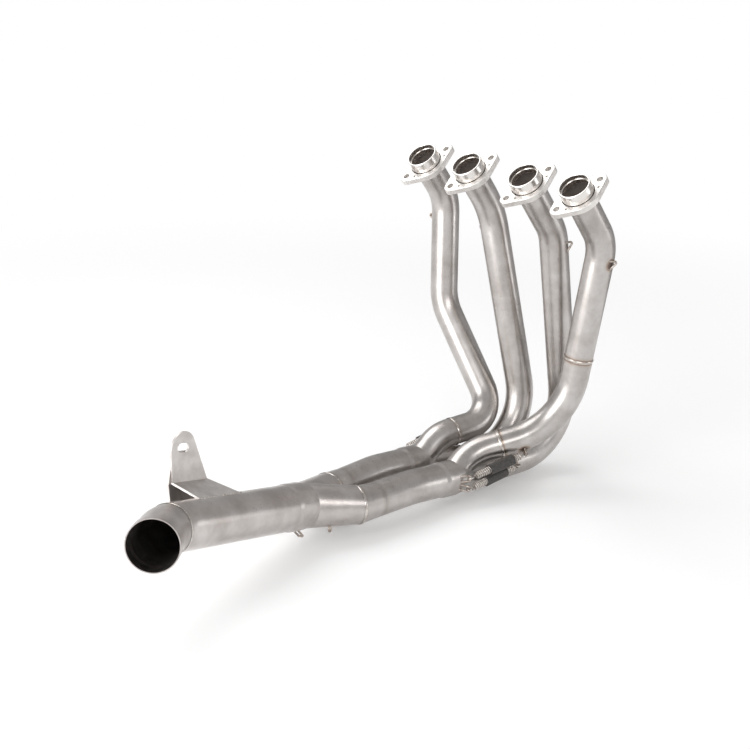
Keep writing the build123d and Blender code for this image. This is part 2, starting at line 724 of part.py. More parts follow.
if __name__ == "__main__":
    os.makedirs("parts", exist_ok=True)
    for name, shape in build().items():
        export_step(shape, f"parts/{name}.step")
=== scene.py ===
# %% [markdown]
# A motorcycle exhaust header
#
# Four primary tubes leave the engine's ports, join in pairs in two merge collectors, and
# the two pairs join once more into the tail pipe. The CAD model of this arrives as a frame
# of bodies and nodes that nothing here may move. This file gives each node the metal or
# rubber that it is made of, draws the springs as real wire, adds one weld that is too fine
# for the CAD model, and sets up the studio. Everything is in metres.

# %% Load the frame
import json
import math

import bpy
import numpy as np
from mathutils import Matrix, Vector


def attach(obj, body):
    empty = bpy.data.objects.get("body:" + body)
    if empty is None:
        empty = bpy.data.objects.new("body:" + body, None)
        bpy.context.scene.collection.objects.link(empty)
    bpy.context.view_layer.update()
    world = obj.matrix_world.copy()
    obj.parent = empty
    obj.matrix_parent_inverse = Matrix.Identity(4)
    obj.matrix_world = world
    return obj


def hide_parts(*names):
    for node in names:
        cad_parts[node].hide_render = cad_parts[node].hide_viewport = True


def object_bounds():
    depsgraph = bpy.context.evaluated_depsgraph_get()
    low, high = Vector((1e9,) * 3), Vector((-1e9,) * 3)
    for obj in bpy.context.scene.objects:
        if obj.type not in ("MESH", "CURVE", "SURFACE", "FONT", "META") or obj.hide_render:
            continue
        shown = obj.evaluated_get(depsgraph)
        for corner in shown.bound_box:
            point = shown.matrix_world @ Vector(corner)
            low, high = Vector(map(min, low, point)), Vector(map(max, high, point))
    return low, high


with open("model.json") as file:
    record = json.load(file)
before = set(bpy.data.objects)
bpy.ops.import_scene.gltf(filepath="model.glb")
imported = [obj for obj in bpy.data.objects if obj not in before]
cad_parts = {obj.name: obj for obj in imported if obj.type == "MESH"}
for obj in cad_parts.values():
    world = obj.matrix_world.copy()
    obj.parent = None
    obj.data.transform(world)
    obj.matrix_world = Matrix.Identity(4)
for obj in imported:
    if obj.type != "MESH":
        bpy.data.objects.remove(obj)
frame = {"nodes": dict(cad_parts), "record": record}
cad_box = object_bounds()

nodes = frame["nodes"]
MM = 0.001
print("nodes:", len(nodes), "box:", [[round(v, 3) for v in corner] for corner in cad_box])

# %% [markdown]
# Camera
#
# To lie over the photograph, the picture has to be taken from the photographer's place.
# A camera could be aimed there by eye, but a photograph fixes its own: the four port
# mouths are circles of known size in one plane, so their ellipses in the picture give the
# place, the turn and the lens. Here the camera is set from those numbers directly.

# %% Place the camera
CAMERA_AT = Vector((1.2537, -1.3481, 0.3726))
CAMERA_RIGHT = Vector((0.6730, 0.7396, 0.0))
CAMERA_BACK = Vector((0.6966, -0.6340, 0.3359))
FOCAL_PX = 1437.4
IMAGE_PX = 750
SENSOR_MM = 36.0


def camera_matrix(at, right, back):
    """The camera looks along minus its third axis, so the columns are right, up, back."""
    back = back.normalized()
    right = (right - back * right.dot(back)).normalized()
    turn = Matrix((right, back.cross(right), back)).transposed()
    return Matrix.Translation(at) @ turn.to_4x4()


camera_data = bpy.data.cameras.new("camera")
camera_data.sensor_width = SENSOR_MM
camera_data.lens = FOCAL_PX / IMAGE_PX * SENSOR_MM
camera = bpy.data.objects.new("camera", camera_data)
camera.matrix_world = camera_matrix(CAMERA_AT, CAMERA_RIGHT, CAMERA_BACK)
bpy.context.collection.objects.link(camera)
bpy.context.scene.camera = camera
print("lens:", round(camera_data.lens, 1), "mm")

# %% [markdown]
# Helpers for materials
#
# Colours are written as sRGB hex, as a painter would read them off a swatch, and one
# function turns them to the linear values that the renderer adds up. A material is a small
# network of nodes. It could be wired by hand in the editor. In a script, one helper that
# adds a node, sets it and links it keeps each material to a few lines that can be read.

# %% Colour helper
def linear(hex_colour):
    """sRGB hex to linear RGBA: each channel goes through the sRGB curve."""
    channels = np.array([int(hex_colour[i:i + 2], 16) for i in (1, 3, 5)]) / 255
    curve = np.where(channels <= 0.04045, channels / 12.92, ((channels + 0.055) / 1.055) ** 2.4)
    return (*curve.tolist(), 1.0)


print("mid grey is", round(linear("#808080")[0], 3), "in linear light")


# %% Node helper
def add_node(tree, kind, inputs=None, stops=(), **settings):
    """Add a node, set its properties, fill its inputs and link them.

    An input takes a number, a hex colour, another node's output, or another node, which
    stands for that node's first output. A colour ramp takes its stops as (position, hex)."""
    node = tree.nodes.new(kind)
    for key, value in settings.items():
        setattr(node, key, value)
    for key, value in (inputs or {}).items():
        socket = node.inputs[key]
        if isinstance(value, bpy.types.Node):
            value = value.outputs[0]
        if isinstance(value, bpy.types.NodeSocket):
            tree.links.new(value, socket)
        elif isinstance(value, str):
            socket.default_value = linear(value)
        else:
            socket.default_value = value
    if stops:
        elements = node.color_ramp.elements
        while len(elements) < len(stops):
            elements.new(0.5)
        for element, (position, colour) in zip(elements, stops):
            element.position = position
            element.color = linear(colour)
    return node


def new_material(name):
    """A material with an empty node tree."""
    material = bpy.data.materials.new(name)
    material.use_nodes = True
    material.node_tree.nodes.clear()
    return material


# %% [markdown]
# Where the welds are
#
# Heat from a weld leaves rings of straw and brown in the steel beside it, so the tubes'
# finish has to know where each weld lies. The places could be typed in, but then the tint
# would stay behind if a tube moved, so they are read from the beads. A bead is a thin
# ring: its middle is the middle of its box, and its axis is the direction in which its
# points spread least, which is the last axis of a singular value decomposition.

# %% Middle, axis and radius of a ring
def points_of(node):
    """All vertices of a node as an array of rows x, y, z in metres."""
    mesh = nodes[node].data
    flat = np.empty(len(mesh.vertices) * 3, np.float32)
    mesh.vertices.foreach_get("co", flat)
    return flat.reshape(-1, 3).astype(float)


def ring_of(node):
    """Middle, axis and outer radius of a ring-shaped node."""
    points = points_of(node)
    middle = (points.min(axis=0) + points.max(axis=0)) / 2
    axis = np.linalg.svd(points - middle, full_matrices=False)[2][2]
    radius = np.linalg.norm(points - middle, axis=1).max()
    return middle, axis, radius


welds = {name: ring_of(name) for name in nodes if "weld" in name}
print("welds:", {name: round(radius / MM, 1) for name, (middle, axis, radius) in welds.items()})

# %% [markdown]
# Two kinds of weld have no bead of their own in the CAD model. Each wire hook on a tube is
# held by dots of weld, which count as a small ball at the hook's middle: with no axis,
# only the distance from the middle is left. Each secondary tube meets its widening wedge
# in a flat seam, which counts as a ring.

# %% Welds without a bead
HOOK_WELD_R = 1 * MM
WEDGE_SEAM_X, WEDGE_SEAM_Y, WEDGE_SEAM_Z = 30.5 * MM, -235 * MM, -384 * MM
WEDGE_SEAM_AXIS = np.array([0.0, 1.0, -0.06])
WEDGE_SEAM_R = 23 * MM
tube_hooks = [name for name in nodes if name.startswith(("port_hook", "tube_hook"))]
for name in tube_hooks:
    welds[name] = (ring_of(name)[0], np.zeros(3), HOOK_WELD_R)
for side, sign in (("left", -1), ("right", 1)):
    seam_middle = np.array([sign * WEDGE_SEAM_X, WEDGE_SEAM_Y, WEDGE_SEAM_Z])
    welds["wedge_front_" + side] = (seam_middle, WEDGE_SEAM_AXIS, WEDGE_SEAM_R)
print("welds with those:", len(welds))

# %% [markdown]
# Heat tint as a field
#
# The shader needs one number for any place: how far the nearest weld is. It could be
# painted on the mesh's vertices, but a CAD mesh has long thin triangles with few vertices,
# so it is worked out in the shader instead. For one weld it is the distance from the
# ring's plane, held up by how far the place is outside the ring's own ball, so that a weld
# colours only the tube it is on. The nearest weld is the smallest of these.

# %% Distance to the nearest weld
SEAM_REACH = 4 * MM
FARTHER_THAN_ANY = 1.0


def weld_distance(tree, where, names):
    """Distance in metres from a place to the nearest of the named welds.

    For each weld it is the larger of |offset . axis| and |offset| - radius - reach."""
    nearest = FARTHER_THAN_ANY
    for name in names:
        middle, axis, radius = welds[name]
        offset = add_node(tree, "ShaderNodeVectorMath", {0: where, 1: middle.tolist()},
                          operation="SUBTRACT")
        height = add_node(tree, "ShaderNodeVectorMath", {0: offset, 1: axis.tolist()},
                          operation="DOT_PRODUCT").outputs["Value"]
        from_plane = add_node(tree, "ShaderNodeMath", {0: height}, operation="ABSOLUTE")
        from_middle = add_node(tree, "ShaderNodeVectorMath", {0: offset},
                               operation="LENGTH").outputs["Value"]
        outside = add_node(tree, "ShaderNodeMath", {0: from_middle, 1: float(radius) + SEAM_REACH},
                           operation="SUBTRACT")
        own = add_node(tree, "ShaderNodeMath", {0: from_plane, 1: outside}, operation="MAXIMUM")
        nearest = add_node(tree, "ShaderNodeMath", {0: nearest, 1: own}, operation="MINIMUM")
    return nearest


# %% [markdown]
# The oxide that heat grows on stainless steel gets thicker towards the weld, and its
# thickness picks the colour: dark brown at the bead, then tan, a grey-brown line, pale
# straw, and bare steel. A colour ramp over the distance draws these rings, and a noise
# shifts them a little, because a torch never moves evenly.

# %% Rings of heat colour
TINT_REACH = 12 * MM
TINT_WOBBLE = 0.12
TINT_FULL, TINT_END = 0.2, 0.75
HEAT_RINGS = ((0.16, "#5F5048"), (0.24, "#A98E78"), (0.31, "#6E625E"), (0.42, "#B7A492"))
BARE_FROM = 0.62


def heat_tinted(tree, where, smear, colour, bare, seams, tint):
    """Colour with the rings of heat over it; tint is how strong they are at the weld.

    The rings' place is distance / reach + wobble * noise."""
    distance = weld_distance(tree, where, seams)
    share = add_node(tree, "ShaderNodeMath", {0: distance, 1: TINT_REACH}, operation="DIVIDE")
    place = add_node(tree, "ShaderNodeMath", {0: smear, 1: TINT_WOBBLE, 2: share},
                     operation="MULTIPLY_ADD")
    rings = add_node(tree, "ShaderNodeValToRGB", {"Fac": place}, stops=(*HEAT_RINGS, (BARE_FROM, bare)))
    strength = add_node(tree, "ShaderNodeMapRange", {"Value": place, "From Min": TINT_END,
                                                     "From Max": TINT_FULL, "To Min": 0.0, "To Max": tint})
    return add_node(tree, "ShaderNodeMix", {0: strength, 6: colour, 7: rings},
                    data_type="RGBA").outputs[2]


# %% [markdown]
# Satin stainless steel
#
# The tubes are drawn and bent stainless steel, given a satin with a fibre belt. To the
# eye that is a metal whose reflections are soft bands along the tube, with a fine grain at
# their edges and faint cloudy patches where the belt pressed more or less. A photograph of
# steel could be wrapped round the tubes, but it would stretch in the bends, so three
# noises in space do it: patches some centimetres wide move the colour, smears and grit
# move the roughness, and the grit also lifts the surface by microns. The belt's real grain
# is about 0.1 mm, too fine for this picture, so it is drawn 0.7 mm wide.
#
# Inside a tube the wall is browner and duller, partly as it left the mill and partly
# painted shade where the tube hides itself. Ambient occlusion measured on the piece alone
# tells inside from outside: it is low only within a tube.

# %% Steel with grain, patches, heat tint and a dull inside with painted shade
SMEAR = 6 * MM
GRIT_HEIGHT = 0.2 * MM
PATCH_STOPS = (0.32, 0.68)
NOISE_LOW, NOISE_HIGH = 0.6, 1.4
ROUGH_SWING = 0.06
OCCLUSION_DEPTH = 45 * MM
OPEN_WALL, CLOSED_WALL = 0.42, 0.22
MILL_DULLING = 0.9


def satin_steel(name, light, dark, rough, grit=0.7 * MM, patch=32 * MM, lift=0.05,
                inside="#B0A59D", seams=(), tint=0.0):
    """Principled metal with the noises, the tint and the inside described above."""
    material = new_material(name)
    tree = material.node_tree
    where = add_node(tree, "ShaderNodeTexCoord").outputs["Object"]
    clouds = add_node(tree, "ShaderNodeTexNoise",
                      {"Vector": where, "Scale": 1 / patch, "Detail": 4.0, "Roughness": 0.6})
    grain = add_node(tree, "ShaderNodeTexNoise",
                     {"Vector": where, "Scale": 1 / grit, "Detail": 2.0, "Roughness": 0.7})
    smear = add_node(tree, "ShaderNodeTexNoise",
                     {"Vector": where, "Scale": 1 / SMEAR, "Detail": 3.0, "Roughness": 0.6})
    colour = add_node(tree, "ShaderNodeValToRGB", {"Fac": clouds},
                      stops=tuple(zip(PATCH_STOPS, (dark, light))))
    if seams:
        colour = heat_tinted(tree, where, smear, colour, dark, seams, tint)
    # Where the piece hides itself, the inside colour is mixed in: partly the wall's own finish, partly
    # painted shade.
    open_air = add_node(tree, "ShaderNodeAmbientOcclusion", {"Distance": OCCLUSION_DEPTH}, samples=6,
                        only_local=True).outputs["AO"]
    occluded_within = add_node(tree, "ShaderNodeMapRange", {"Value": open_air, "From Min": OPEN_WALL,
                                                   "From Max": CLOSED_WALL, "To Min": 0.0, "To Max": 1.0})
    colour = add_node(tree, "ShaderNodeMix", {0: occluded_within, 6: colour, 7: inside},
                      data_type="RGBA").outputs[2]
    noise = add_node(tree, "ShaderNodeMath", {0: grain, 1: smear}, operation="ADD")
    spread = add_node(tree, "ShaderNodeMapRange",
                      {"Value": noise, "From Min": NOISE_LOW, "From Max": NOISE_HIGH,
                       "To Min": rough - ROUGH_SWING, "To Max": rough + ROUGH_SWING})
    metallic = add_node(tree, "ShaderNodeMath", {0: occluded_within, 1: -MILL_DULLING, 2: 1.0},
                        operation="MULTIPLY_ADD")
    relief = add_node(tree, "ShaderNodeBump", {"Height": grain, "Strength": lift, "Distance": GRIT_HEIGHT})
    shader = add_node(tree, "ShaderNodeBsdfPrincipled", {"Base Color": colour, "Metallic": metallic,
                                                         "Roughness": spread, "Normal": relief})
    add_node(tree, "ShaderNodeOutputMaterial", {"Surface": shader})
    return material


# %% [markdown]
# The primaries and secondaries share one steel, with a faint tint at their seams and
# hooks. The near tube shows clear rings at its seam, so it has its own. The tail's inside
# is painted much darker, as shade in the pipe. A bead is the same metal, melted and frozen
# in small drops, so its patches are small and its grain is coarse.

# %% Mix the satin steels
merge_seams = [name for name in welds if name.startswith(("merge", "secondary", "wedge"))]
merge_seams += [name for name in tube_hooks if name != "port_hook_4"]
near_seams = ["primary_weld_4", "merge_weld_4", "port_hook_4", "tube_hook_right_upper"]
tail_seams = ["tail_weld"]
steel_tube = satin_steel("satin_stainless_tube", "#C9C5C2", "#AEA8A4", 0.31,
                         seams=merge_seams, tint=0.25)
steel_near_tube = satin_steel("satin_stainless_near_tube", "#C9C5C2", "#AEA8A4", 0.31,
                              seams=near_seams, tint=0.9)
# The tail's dark inside colour is painted shade, laid where the occlusion mask finds the pipe hiding
# itself.
steel_tail = satin_steel("satin_stainless_tail", "#CCC7C4", "#B1AAA6", 0.31, inside="#4A423D",
                         seams=tail_seams, tint=0.15)
steel_bead = satin_steel("ground_weld_bead", "#DAD6D2", "#B7ADA5", 0.27,
                         grit=1.2 * MM, patch=4 * MM, lift=0.2)
print("seams with a tint:", len(merge_seams + near_seams + tail_seams))

# %% [markdown]
# Turned steel
#
# The port collars are turned on a lathe, which leaves fine rings round them that catch the
# light as sharp lines. The rings could be cut into the mesh, but they are a few hundredths
# of a millimetre deep, so relief in the shader is enough. A sine of the height along the
# port's axis gives them. Real ones are about 0.2 mm apart; they are drawn 0.9 mm apart so
# that they show. The deepest valleys are painted a little darker, as shade in the grooves.

# %% Lathe rings, with painted shade in their valleys
PORT_AXIS = tuple(frame["record"]["behaviour"]["joints"][0]["axis"])
RING_PITCH = 0.9 * MM
RING_HEIGHT = 0.1 * MM
RING_LIFT = 0.05
RING_SHARE, RING_MIDDLE = 0.2, 0.5
GROOVE_SHADE_STOPS = (0.15, 0.6)
LATHE_GRIT = 1.5 * MM


def turned_steel(name, light, dark, rough):
    """Metal with relief rings across the port's axis: the sine of 2 pi height / pitch."""
    material = new_material(name)
    tree = material.node_tree
    where = add_node(tree, "ShaderNodeTexCoord").outputs["Object"]
    height = add_node(tree, "ShaderNodeVectorMath", {0: where, 1: PORT_AXIS},
                      operation="DOT_PRODUCT").outputs["Value"]
    angle = add_node(tree, "ShaderNodeMath", {0: height, 1: 2 * math.pi / RING_PITCH}, operation="MULTIPLY")
    wave = add_node(tree, "ShaderNodeMath", {0: angle}, operation="SINE")
    grit = add_node(tree, "ShaderNodeTexNoise", {"Vector": where, "Scale": 1 / LATHE_GRIT, "Detail": 3.0})
    # Painted shade: the colour follows the rings' height and is darker in each valley, and grit noise adds
    # random tone.
    groove_shade = add_node(tree, "ShaderNodeMath", {0: wave, 1: RING_SHARE, 2: RING_MIDDLE},
                      operation="MULTIPLY_ADD")
    groove_shade_and_grit = add_node(tree, "ShaderNodeMath", {0: groove_shade, 1: grit}, operation="ADD")
    colour = add_node(tree, "ShaderNodeValToRGB", {"Fac": groove_shade_and_grit},
                      stops=tuple(zip(GROOVE_SHADE_STOPS, (dark, light))))
    relief = add_node(tree, "ShaderNodeBump", {"Height": wave, "Strength": RING_LIFT,
                                               "Distance": RING_HEIGHT})
    shader = add_node(tree, "ShaderNodeBsdfPrincipled", {"Base Color": colour, "Metallic": 1.0,
                                                         "Roughness": rough, "Normal": relief})
    add_node(tree, "ShaderNodeOutputMaterial", {"Surface": shader})
    return material


steel_collar = turned_steel("turned_stainless_collar", "#E8E4E0", "#C9C2BC", 0.22)
print("port axis:", [round(v, 3) for v in PORT_AXIS])

# %% [markdown]
# Blasted plate and drawn wire
#
# The flanges and the bracket are cut from plate and blasted with glass beads. To the eye
# that is a pale, even surface with no direction, because it is all tiny dents: high
# roughness and a strong lift of fine grit, drawn 0.5 mm wide. The flanges are the paler
# ones. The hooks are bent from wire and keep the brown that the torch gave them, in
# blotches of a few millimetres. The springs' wire is drawn through a die, so it is
# brighter than anything but the collars. All are the satin steel with other numbers.

# %% Mix the plate and the wires
steel_flange = satin_steel("bead_blasted_flange", "#E8E5E2", "#D8D3CF", 0.5,
                           grit=0.5 * MM, patch=14 * MM, lift=0.25, inside="#CFC8C2")
steel_bracket = satin_steel("bead_blasted_bracket", "#D8D4D1", "#C0BAB6", 0.44,
                            grit=0.5 * MM, patch=18 * MM, lift=0.2, inside="#B8AEA7")
steel_hook = satin_steel("torch_brown_hook_wire", "#D2CAC3", "#7A675A", 0.3,
                         patch=5 * MM, inside="#6A5647")
steel_spring = satin_steel("drawn_spring_wire", "#DDD8D3", "#B7AFA8", 0.24,
                           grit=1 * MM, patch=6 * MM, inside="#B7AFA8")
print("plate and wire:", [steel.name for steel in (steel_flange, steel_bracket, steel_hook, steel_spring)])

# %% [markdown]
# Sleeve rubber
#
# A silicone rubber tube is cut to length and slid over each spring, to keep it from
# ringing. It isn't a metal: a dark, matt skin with a weak even sheen, and fine dust in its
# pores. One noise gives both the dust's colour and the pores' depth, so that the dust
# lies where the pores are. The dust's grains are drawn 2 mm wide so that they show.

# %% Rubber
RUBBER_IOR = 1.52
RUBBER_ROUGH = 0.55
DUST = 2 * MM
PORE_DEPTH = 0.1 * MM
rubber = new_material("silicone_rubber_sleeve")
tree = rubber.node_tree
where = add_node(tree, "ShaderNodeTexCoord").outputs["Object"]
dust = add_node(tree, "ShaderNodeTexNoise", {"Vector": where, "Scale": 1 / DUST, "Detail": 4.0})
dusty = add_node(tree, "ShaderNodeValToRGB", {"Fac": dust}, stops=((0.35, "#2E2C2A"), (0.7, "#4C4845")))
pores = add_node(tree, "ShaderNodeBump", {"Height": dust, "Strength": 0.3, "Distance": PORE_DEPTH})
skin = add_node(tree, "ShaderNodeBsdfPrincipled", {"Base Color": dusty, "Roughness": RUBBER_ROUGH,
                                                   "IOR": RUBBER_IOR, "Normal": pores})
add_node(tree, "ShaderNodeOutputMaterial", {"Surface": skin})
print("rubber nodes:", len(tree.nodes))

# %% [markdown]
# Which piece gets which finish
#
# The nodes' names say what each piece is, so a finish is picked by the first word that
# stands in the name. That is shorter than a list of all nodes, and a new hook or weld gets
# its finish without a new line. A weld on the tail is a weld first, so the order counts.

# %% Give every node its finish
FINISH = {
    "port_collar": steel_collar,
    "port_flange": steel_flange,
    "tail_bracket": steel_bracket,
    "hook": steel_hook,
    "sleeve": rubber,
    "spring": steel_spring,
    "weld": steel_bead,
    "primary_tube_4": steel_near_tube,
    "tail": steel_tail,
    "main_collector": steel_tail,
}


def finish_of(node):
    """The first finish whose key stands in the node's name, else the tube's."""
    return next((finish for key, finish in FINISH.items() if key in node), steel_tube)


for name, part in nodes.items():
    part.material_slots[0].material = finish_of(name)
print("finishes:", len({finish_of(name).name for name in nodes}))

# %% [markdown]
# Wire as a swept circle
#
# A spring is one wire, and a wire is a circle carried along a path. A curve object with a
# bevel could do it, but numpy gives the same surface at once and keeps control of its
# facing and its end caps. Every point of the path gets a frame: the tangent, a side vector
# square to both the tangent and a chosen up vector, and the third vector square to those.
# The circle is drawn in the last two, as one array of path points by circle points.

# %% Carry a circle along a path
WIRE_SIDES = 10


def swept_circle(path, radius, up):
    """Rows of circles square to the path; radius is one number or one for each point.

    Point (i, j) is path i + radius i * (cos angle j * side i + sin angle j * third i)."""
    tangent = np.gradient(path, axis=0)
    tangent /= np.linalg.norm(tangent, axis=1, keepdims=True)
    side = np.cross(np.broadcast_to(up, path.shape), tangent)
    side /= np.linalg.norm(side, axis=1, keepdims=True)
    third = np.cross(tangent, side)
    angle = np.linspace(0, 2 * math.pi, WIRE_SIDES, endpoint=False)[None, :, None]
    circle = np.cos(angle) * side[:, None, :] + np.sin(angle) * third[:, None, :]
    return path[:, None, :] + np.broadcast_to(radius, len(path))[:, None, None] * circle


def tube_faces(rows, first):
    """Quads between neighbouring circles, and one face that closes each end.

    Point (i, j) has the number first + i * sides + j, and j wraps round."""
    i, j = np.meshgrid(np.arange(rows - 1), np.arange(WIRE_SIDES), indexing="ij")
    k = (j + 1) % WIRE_SIDES
    low, high = first + i * WIRE_SIDES, first + (i + 1) * WIRE_SIDES
    quads = np.stack([low + j, low + k, high + k, high + j], axis=-1).reshape(-1, 4)
    first_end = first + np.arange(WIRE_SIDES)[::-1]
    last_end = first + (rows - 1) * WIRE_SIDES + np.arange(WIRE_SIDES)
    return quads.tolist() + [first_end.tolist(), last_end.tolist()]


def wire_piece(name, tubes, material, body):
    """One smooth mesh object from several swept tubes, riding on a body."""
    points, faces = [], []
    for grid in tubes:
        faces += tube_faces(len(grid), sum(len(block) for block in points))
        points.append(grid.reshape(-1, 3))
    mesh = bpy.data.meshes.new(name)
    mesh.from_pydata(np.concatenate(points).tolist(), [], faces)
    mesh.polygons.foreach_set("use_smooth", [True] * len(mesh.polygons))
    mesh.materials.append(material)
    piece = bpy.data.objects.new(name, mesh)
    bpy.context.collection.objects.link(piece)
    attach(piece, body)
    return piece


# %% [markdown]
# Springs
#
# Each slip joint between a merge collector and its secondary is held by two tension
# springs: a coil of 2 mm wire with a loop at each end, hung over the hooks. The CAD model
# has a ridged bar of the same outline, because a helix makes a heavy solid. Here it is
# the wire itself: a loop, a small bend, a short shank, then a helix whose radius grows
# over the first half turn and shrinks over the last. The ends are read from the node: its
# long axis, and for each end loop the direction in which that loop is thin.

# %% Ends of a spring
WIRE_R = 1.0 * MM
LOOP_R = 4.0 * MM
LOOP_ZONE = 1.2 * LOOP_R


def spring_ends(node):
    """Middles of both loops, the direction between them, and each loop's normal.

    Points nearer to an end than the loop zone belong to its loop."""
    points = points_of(node)
    middle = (points.min(axis=0) + points.max(axis=0)) / 2
    along = np.linalg.svd(points - middle, full_matrices=False)[2][0]
    reach = (points - middle) @ along
    normals = []
    for end in (reach.min(), reach.max()):
        loop = points[np.abs(reach - end) < LOOP_ZONE]
        normals.append(np.linalg.svd(loop - loop.mean(axis=0), full_matrices=False)[2][2])
    inset = LOOP_R + WIRE_R
    first = middle + along * (reach.min() + inset)
    last = middle + along * (reach.max() - inset)
    return first, last, along, normals


spring_nodes = [name for name in nodes if name.startswith("spring_") and "sleeve" not in name]
for node in spring_nodes:
    first, last, along, normals = spring_ends(node)
    print(node, "from loop to loop", round(np.linalg.norm(last - first) / MM, 1), "mm")

# %% Path of a loop
BEND_R = 1.6 * MM
SHANK = 3.5 * MM
LOOP_OPEN_DEGREES = 40
LOOP_POINTS, BEND_POINTS, SHANK_POINTS = 40, 8, 5


def loop_path(centre, pull, normal):
    """Loop round the hook, a quarter bend and the shank, all in the plane square to normal.

    The loop is centre + R (cos turn * pull + sin turn * across), open for its first part."""
    across = np.cross(normal, pull)
    turn = np.radians(np.linspace(LOOP_OPEN_DEGREES, 360, LOOP_POINTS))[:, None]
    loop = centre + LOOP_R * (np.cos(turn) * pull + np.sin(turn) * across)
    bend = np.radians(np.linspace(0, 90, BEND_POINTS))[1:, None]
    bend_middle = centre + (LOOP_R + BEND_R) * pull
    quarter = bend_middle + BEND_R * (np.sin(bend) * across - np.cos(bend) * pull)
    run = np.linspace(0, SHANK - BEND_R, SHANK_POINTS)[1:, None]
    return np.concatenate([loop, quarter, quarter[-1] + run * pull]), across


# %% Path of a coil
COIL_R = 4.2 * MM
COIL_PITCH = 3.0 * MM
TURN_POINTS = 22


def coil_path(start, end, pull, first_side, last_side):
    """Helix from the first shank to the last: start + height * pull + radius * (cos, sin).

    Angle and height grow together, and the radius eases from the bend's to the coil's."""
    length = np.linalg.norm(end - start)
    turns = round(length / COIL_PITCH)
    third = np.cross(pull, first_side)
    offset = math.atan2(last_side @ third, last_side @ first_side)
    angle = np.linspace(0, 2 * math.pi * turns + offset, turns * TURN_POINTS)
    height = np.linspace(0, length, len(angle))[:, None]
    ease = np.clip(np.minimum(angle, angle[-1] - angle) / math.pi, 0, 1)
    radius = (BEND_R + (COIL_R - BEND_R) * ease * ease * (3 - 2 * ease))[:, None]
    circle = np.cos(angle)[:, None] * first_side + np.sin(angle)[:, None] * third
    return start + height * pull + radius * circle


# %% Wind the springs
for node in spring_nodes:
    first, last, along, (first_normal, last_normal) = spring_ends(node)
    first_loop, first_side = loop_path(first, along, first_normal)
    last_loop, last_side = loop_path(last, -along, last_normal)
    start = first + along * (LOOP_R + SHANK)
    end = last - along * (LOOP_R + SHANK)
    coil = coil_path(start, end, along, first_side, last_side)
    tubes = [swept_circle(first_loop, WIRE_R, first_normal),
             swept_circle(coil, WIRE_R, along),
             swept_circle(last_loop, WIRE_R, last_normal)]
    piece = wire_piece("wound_" + node, tubes, steel_spring, "header")
    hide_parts(node)
    print(piece.name, "faces", len(piece.data.polygons))

# %% [markdown]
# The weld along the bracket
#
# The bracket's shelf is welded to the pipe along its edge, with a bead that is a row of
# overlapping drops. It could be a relief in the shader, but it shows against the white
# paper, so it is a shape. The line to follow is where the shelf's own corners lie on the
# pipe's skin, which is one straight line along the pipe. The bead is a circle carried
# along it, and a sine of the length makes its drops. A short stretch is left unwelded.

# %% Where the shelf touches the pipe
TAIL_FROM = np.array([0.0, -337.0, -372.0]) * MM
TAIL_AXIS = np.array([0.1966, -0.9486, 0.2478])
TAIL_RADIUS = 28.6 * MM
SKIN_BAND = 1.2 * MM
UNWELDED = (143.5 * MM, 154.5 * MM)

shelf = points_of("tail_bracket_tab") - TAIL_FROM
along_pipe = shelf @ TAIL_AXIS
from_axis = shelf - along_pipe[:, None] * TAIL_AXIS
on_skin = np.abs(np.linalg.norm(from_axis, axis=1) - TAIL_RADIUS) < SKIN_BAND
edge = from_axis[on_skin][np.argmax(from_axis[on_skin][:, 0])]
stretches = ((along_pipe[on_skin].min(), UNWELDED[0]), (UNWELDED[1], along_pipe[on_skin].max()))
print("shelf bead from", [round(v / MM, 1) for stretch in stretches for v in stretch], "mm along the pipe")

# %% Bead along the shelf
BEAD_R = 1.3 * MM
DROP_PITCH = 2.2 * MM
DROP_DEPTH = 0.18
DROP_POINTS = 8


def drop_bead(start, end):
    """Bead along the pipe: the radius is R (1 - depth * |sin(pi length / pitch)|)."""
    length = np.linspace(start, end, round((end - start) / DROP_PITCH) * DROP_POINTS)
    radius = BEAD_R * (1 - DROP_DEPTH * np.abs(np.sin(math.pi * length / DROP_PITCH)))
    path = TAIL_FROM + length[:, None] * TAIL_AXIS + edge
    return swept_circle(path, radius, edge)


beads = [drop_bead(*stretch) for stretch in stretches]
shelf_bead = wire_piece("bracket_shelf_bead", beads, steel_bead, "header")
print("shelf bead faces:", len(shelf_bead.data.polygons))

# %% [markdown]
# Floor
#
# The photograph is a product shot on white paper. Paper lit brightly enough to be white
# would also flood the object with light from below. So the paper gets a little light of
# its own that only the camera and reflections see, and the object's shadow stays in its
# diffuse part. Far from the object the paper fades to plain white.

# %% Flat sheet
def flat_sheet(name, size, place):
    """A sheet of one face: corners (+-width / 2, +-height / 2, 0), carried by a place matrix."""
    corners = np.array([[-1, -1, 0], [1, -1, 0], [1, 1, 0], [-1, 1, 0]]) * (size[0] / 2, size[1] / 2, 1)
    place = np.array(place)
    corners = corners @ place[:3, :3].T + place[:3, 3]
    mesh = bpy.data.meshes.new(name)
    mesh.from_pydata(corners.tolist(), [], [(0, 1, 2, 3)])
    sheet = bpy.data.objects.new(name, mesh)
    bpy.context.collection.objects.link(sheet)
    return sheet


FLOOR_Z = cad_box[0][2] - 1 * MM
FLOOR_SIZE = (40.0, 40.0)
floor = flat_sheet("floor", FLOOR_SIZE, Matrix.Translation((0, 0, FLOOR_Z)))
print("floor at", round(FLOOR_Z, 3))

# %% White paper
PAPER_FILL = 0.13
FADE_FROM, FADE_TO = 0.7, 1.8
WHITE = (1.0, 1.0, 1.0, 1.0)
middle = (Vector(cad_box[0]) + Vector(cad_box[1])) / 2

